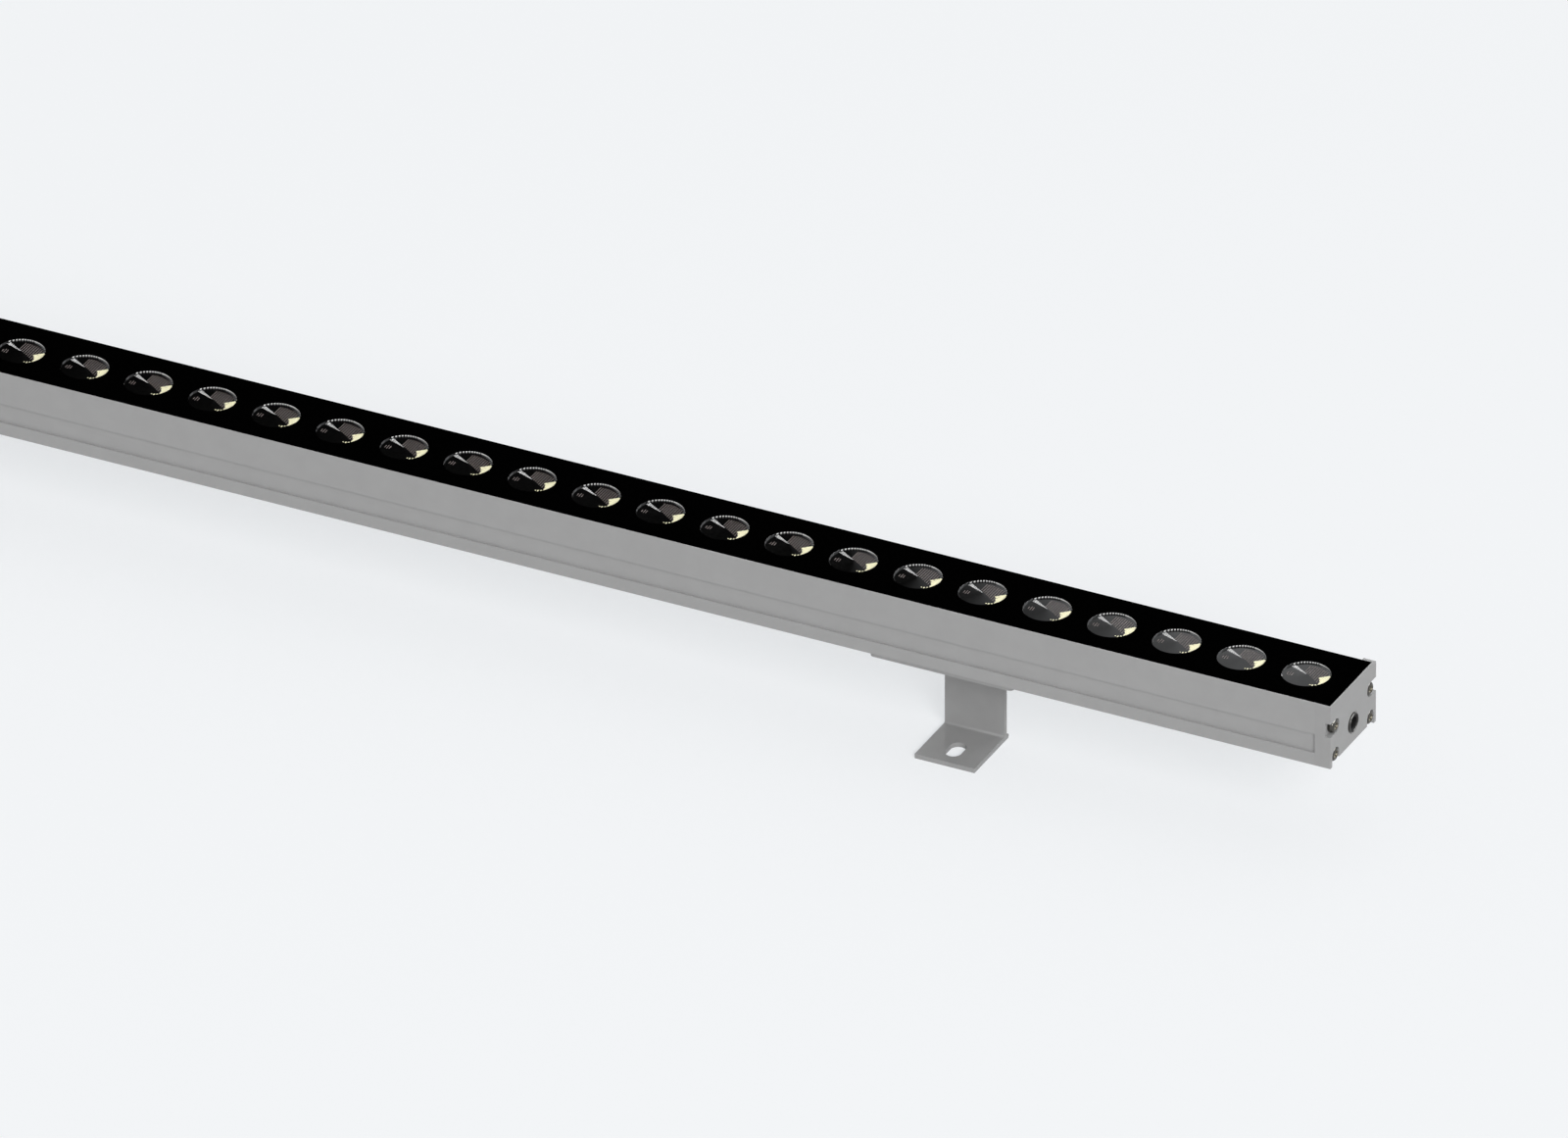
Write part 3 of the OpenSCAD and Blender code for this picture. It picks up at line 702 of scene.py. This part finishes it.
def make_camera(corner):
    """A very long lens that puts a corner of the end cap on its pixel of the photograph."""
    right = Vector((math.cos(VIEW_AZIMUTH), math.sin(VIEW_AZIMUTH), 0))
    back = Vector((
        math.sin(VIEW_AZIMUTH) * math.cos(VIEW_ELEVATION),
        -math.cos(VIEW_AZIMUTH) * math.cos(VIEW_ELEVATION),
        math.sin(VIEW_ELEVATION),
    ))
    up = back.cross(right)
    middle = corner + right * (PHOTO_W / 2 - CORNER_PIXEL[0]) / PIXELS_PER_M
    middle = middle + up * (CORNER_PIXEL[1] - PHOTO_H / 2) / PIXELS_PER_M
    distance = PHOTO_W / PIXELS_PER_M * CAMERA_LENS / CAMERA_SENSOR
    data = bpy.data.cameras.new("camera")
    data.lens = CAMERA_LENS
    data.sensor_width = CAMERA_SENSOR
    data.clip_start = CLIP_START
    data.clip_end = CLIP_END_SHARE * distance
    camera = bpy.data.objects.new("camera", data)
    bpy.context.scene.collection.objects.link(camera)
    turn = Matrix((right, up, back)).transposed().to_4x4()
    camera.matrix_world = Matrix.Translation(middle + back * (distance - TRUE_SCALE_DEPTH)) @ turn
    bpy.context.scene.camera = camera


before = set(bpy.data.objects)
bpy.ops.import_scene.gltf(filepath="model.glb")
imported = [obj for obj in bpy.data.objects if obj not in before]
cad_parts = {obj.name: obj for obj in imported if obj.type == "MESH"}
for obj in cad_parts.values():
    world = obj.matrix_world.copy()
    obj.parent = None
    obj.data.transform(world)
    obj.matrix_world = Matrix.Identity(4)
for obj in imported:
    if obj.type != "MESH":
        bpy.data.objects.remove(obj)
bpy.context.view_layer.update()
cap_low, cap_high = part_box("end_cap_right")
lens_low, lens_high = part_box("lenses")
lens_radius = (lens_high.y - lens_low.y) / 2
rim_angles = flute_angles(lens_radius - RIM_W)

make_camera(Vector((cap_high.x, cap_low.y, cap_high.z)))
make_world()
make_lamps()
make_floor()
make_card()
bpy.context.scene.view_settings.view_transform = "Standard"

housing_paint = powder_coat("housing_paint", (0.352, 0.352, 0.352), variation=0.02, roughness=0.55)
cap_paint = powder_coat("cap_paint", (0.34, 0.34, 0.34), variation=0.02, roughness=0.55)
bracket_paint = powder_coat("bracket_paint", (0.335, 0.335, 0.335), variation=0.025, roughness=0.6)
steel = bright_metal("bright_steel", (0.5, 0.485, 0.455), roughness=0.18)
ring_steel = bright_metal("ring_steel", (0.14, 0.137, 0.13), roughness=0.15)
seal = moulded("seal_rubber", (0.02, 0.02, 0.02), roughness=0.65)
grommet_rubber = moulded("grommet_rubber", (0.012, 0.012, 0.012), roughness=0.6, specular=0.1)
black_plastic = moulded("black_plastic", (0.02, 0.02, 0.02), roughness=0.5)
white_board = moulded("board_white", (0.8, 0.81, 0.79), roughness=0.45)
green_board = moulded("board_green", (0.02, 0.1, 0.04), roughness=0.4)
ceramic = moulded("lamp_ceramic", (0.85, 0.85, 0.82), roughness=0.4)
phosphor = moulded("phosphor", (0.9, 0.75, 0.2), roughness=0.3)

finishes_by_node = {
    "housing": housing_paint,
    "front_cover": matt_black("cover_black", (0.0006, 0.0006, 0.0006)),
    "lens_cups": black_plastic,
    "led_packages": ceramic,
    "led_domes": phosphor,
    "board_screws": steel,
    "cover_seal_front": seal,
    "cover_seal_rear": seal,
    "driver_film": seal,
    "driver_board": green_board,
    "driver_chokes": black_plastic,
    "driver_capacitors": phosphor,
    "terminal_blocks": black_plastic,
    "feed_leads": steel,
}
finishes_at_each_side = {
    "led_board_": white_board,
    "end_cap_": cap_paint,
    "end_gasket_": seal,
    "inlet_ring_": ring_steel,
    "inlet_seal_": seal,
    "inlet_grommet_": grommet_rubber,
    "bracket_": bracket_paint,
    "sliding_nuts_": steel,
    "bracket_screws_": steel,
    "bracket_washers_": steel,
}
for side in SIDES:
    for stem, material in finishes_at_each_side.items():
        finishes_by_node[stem + side] = material
for node, material in finishes_by_node.items():
    assign(node, material)
for side in SIDES:
    assign_face("inlet_ring_" + side, grommet_rubber)
    soften_edges("inlet_ring_" + side, RING_ROUND, segments=4)
    soften_edges("bracket_" + side, EDGE_ROUND, segments=2)

make_lenses()
make_cap_screws()
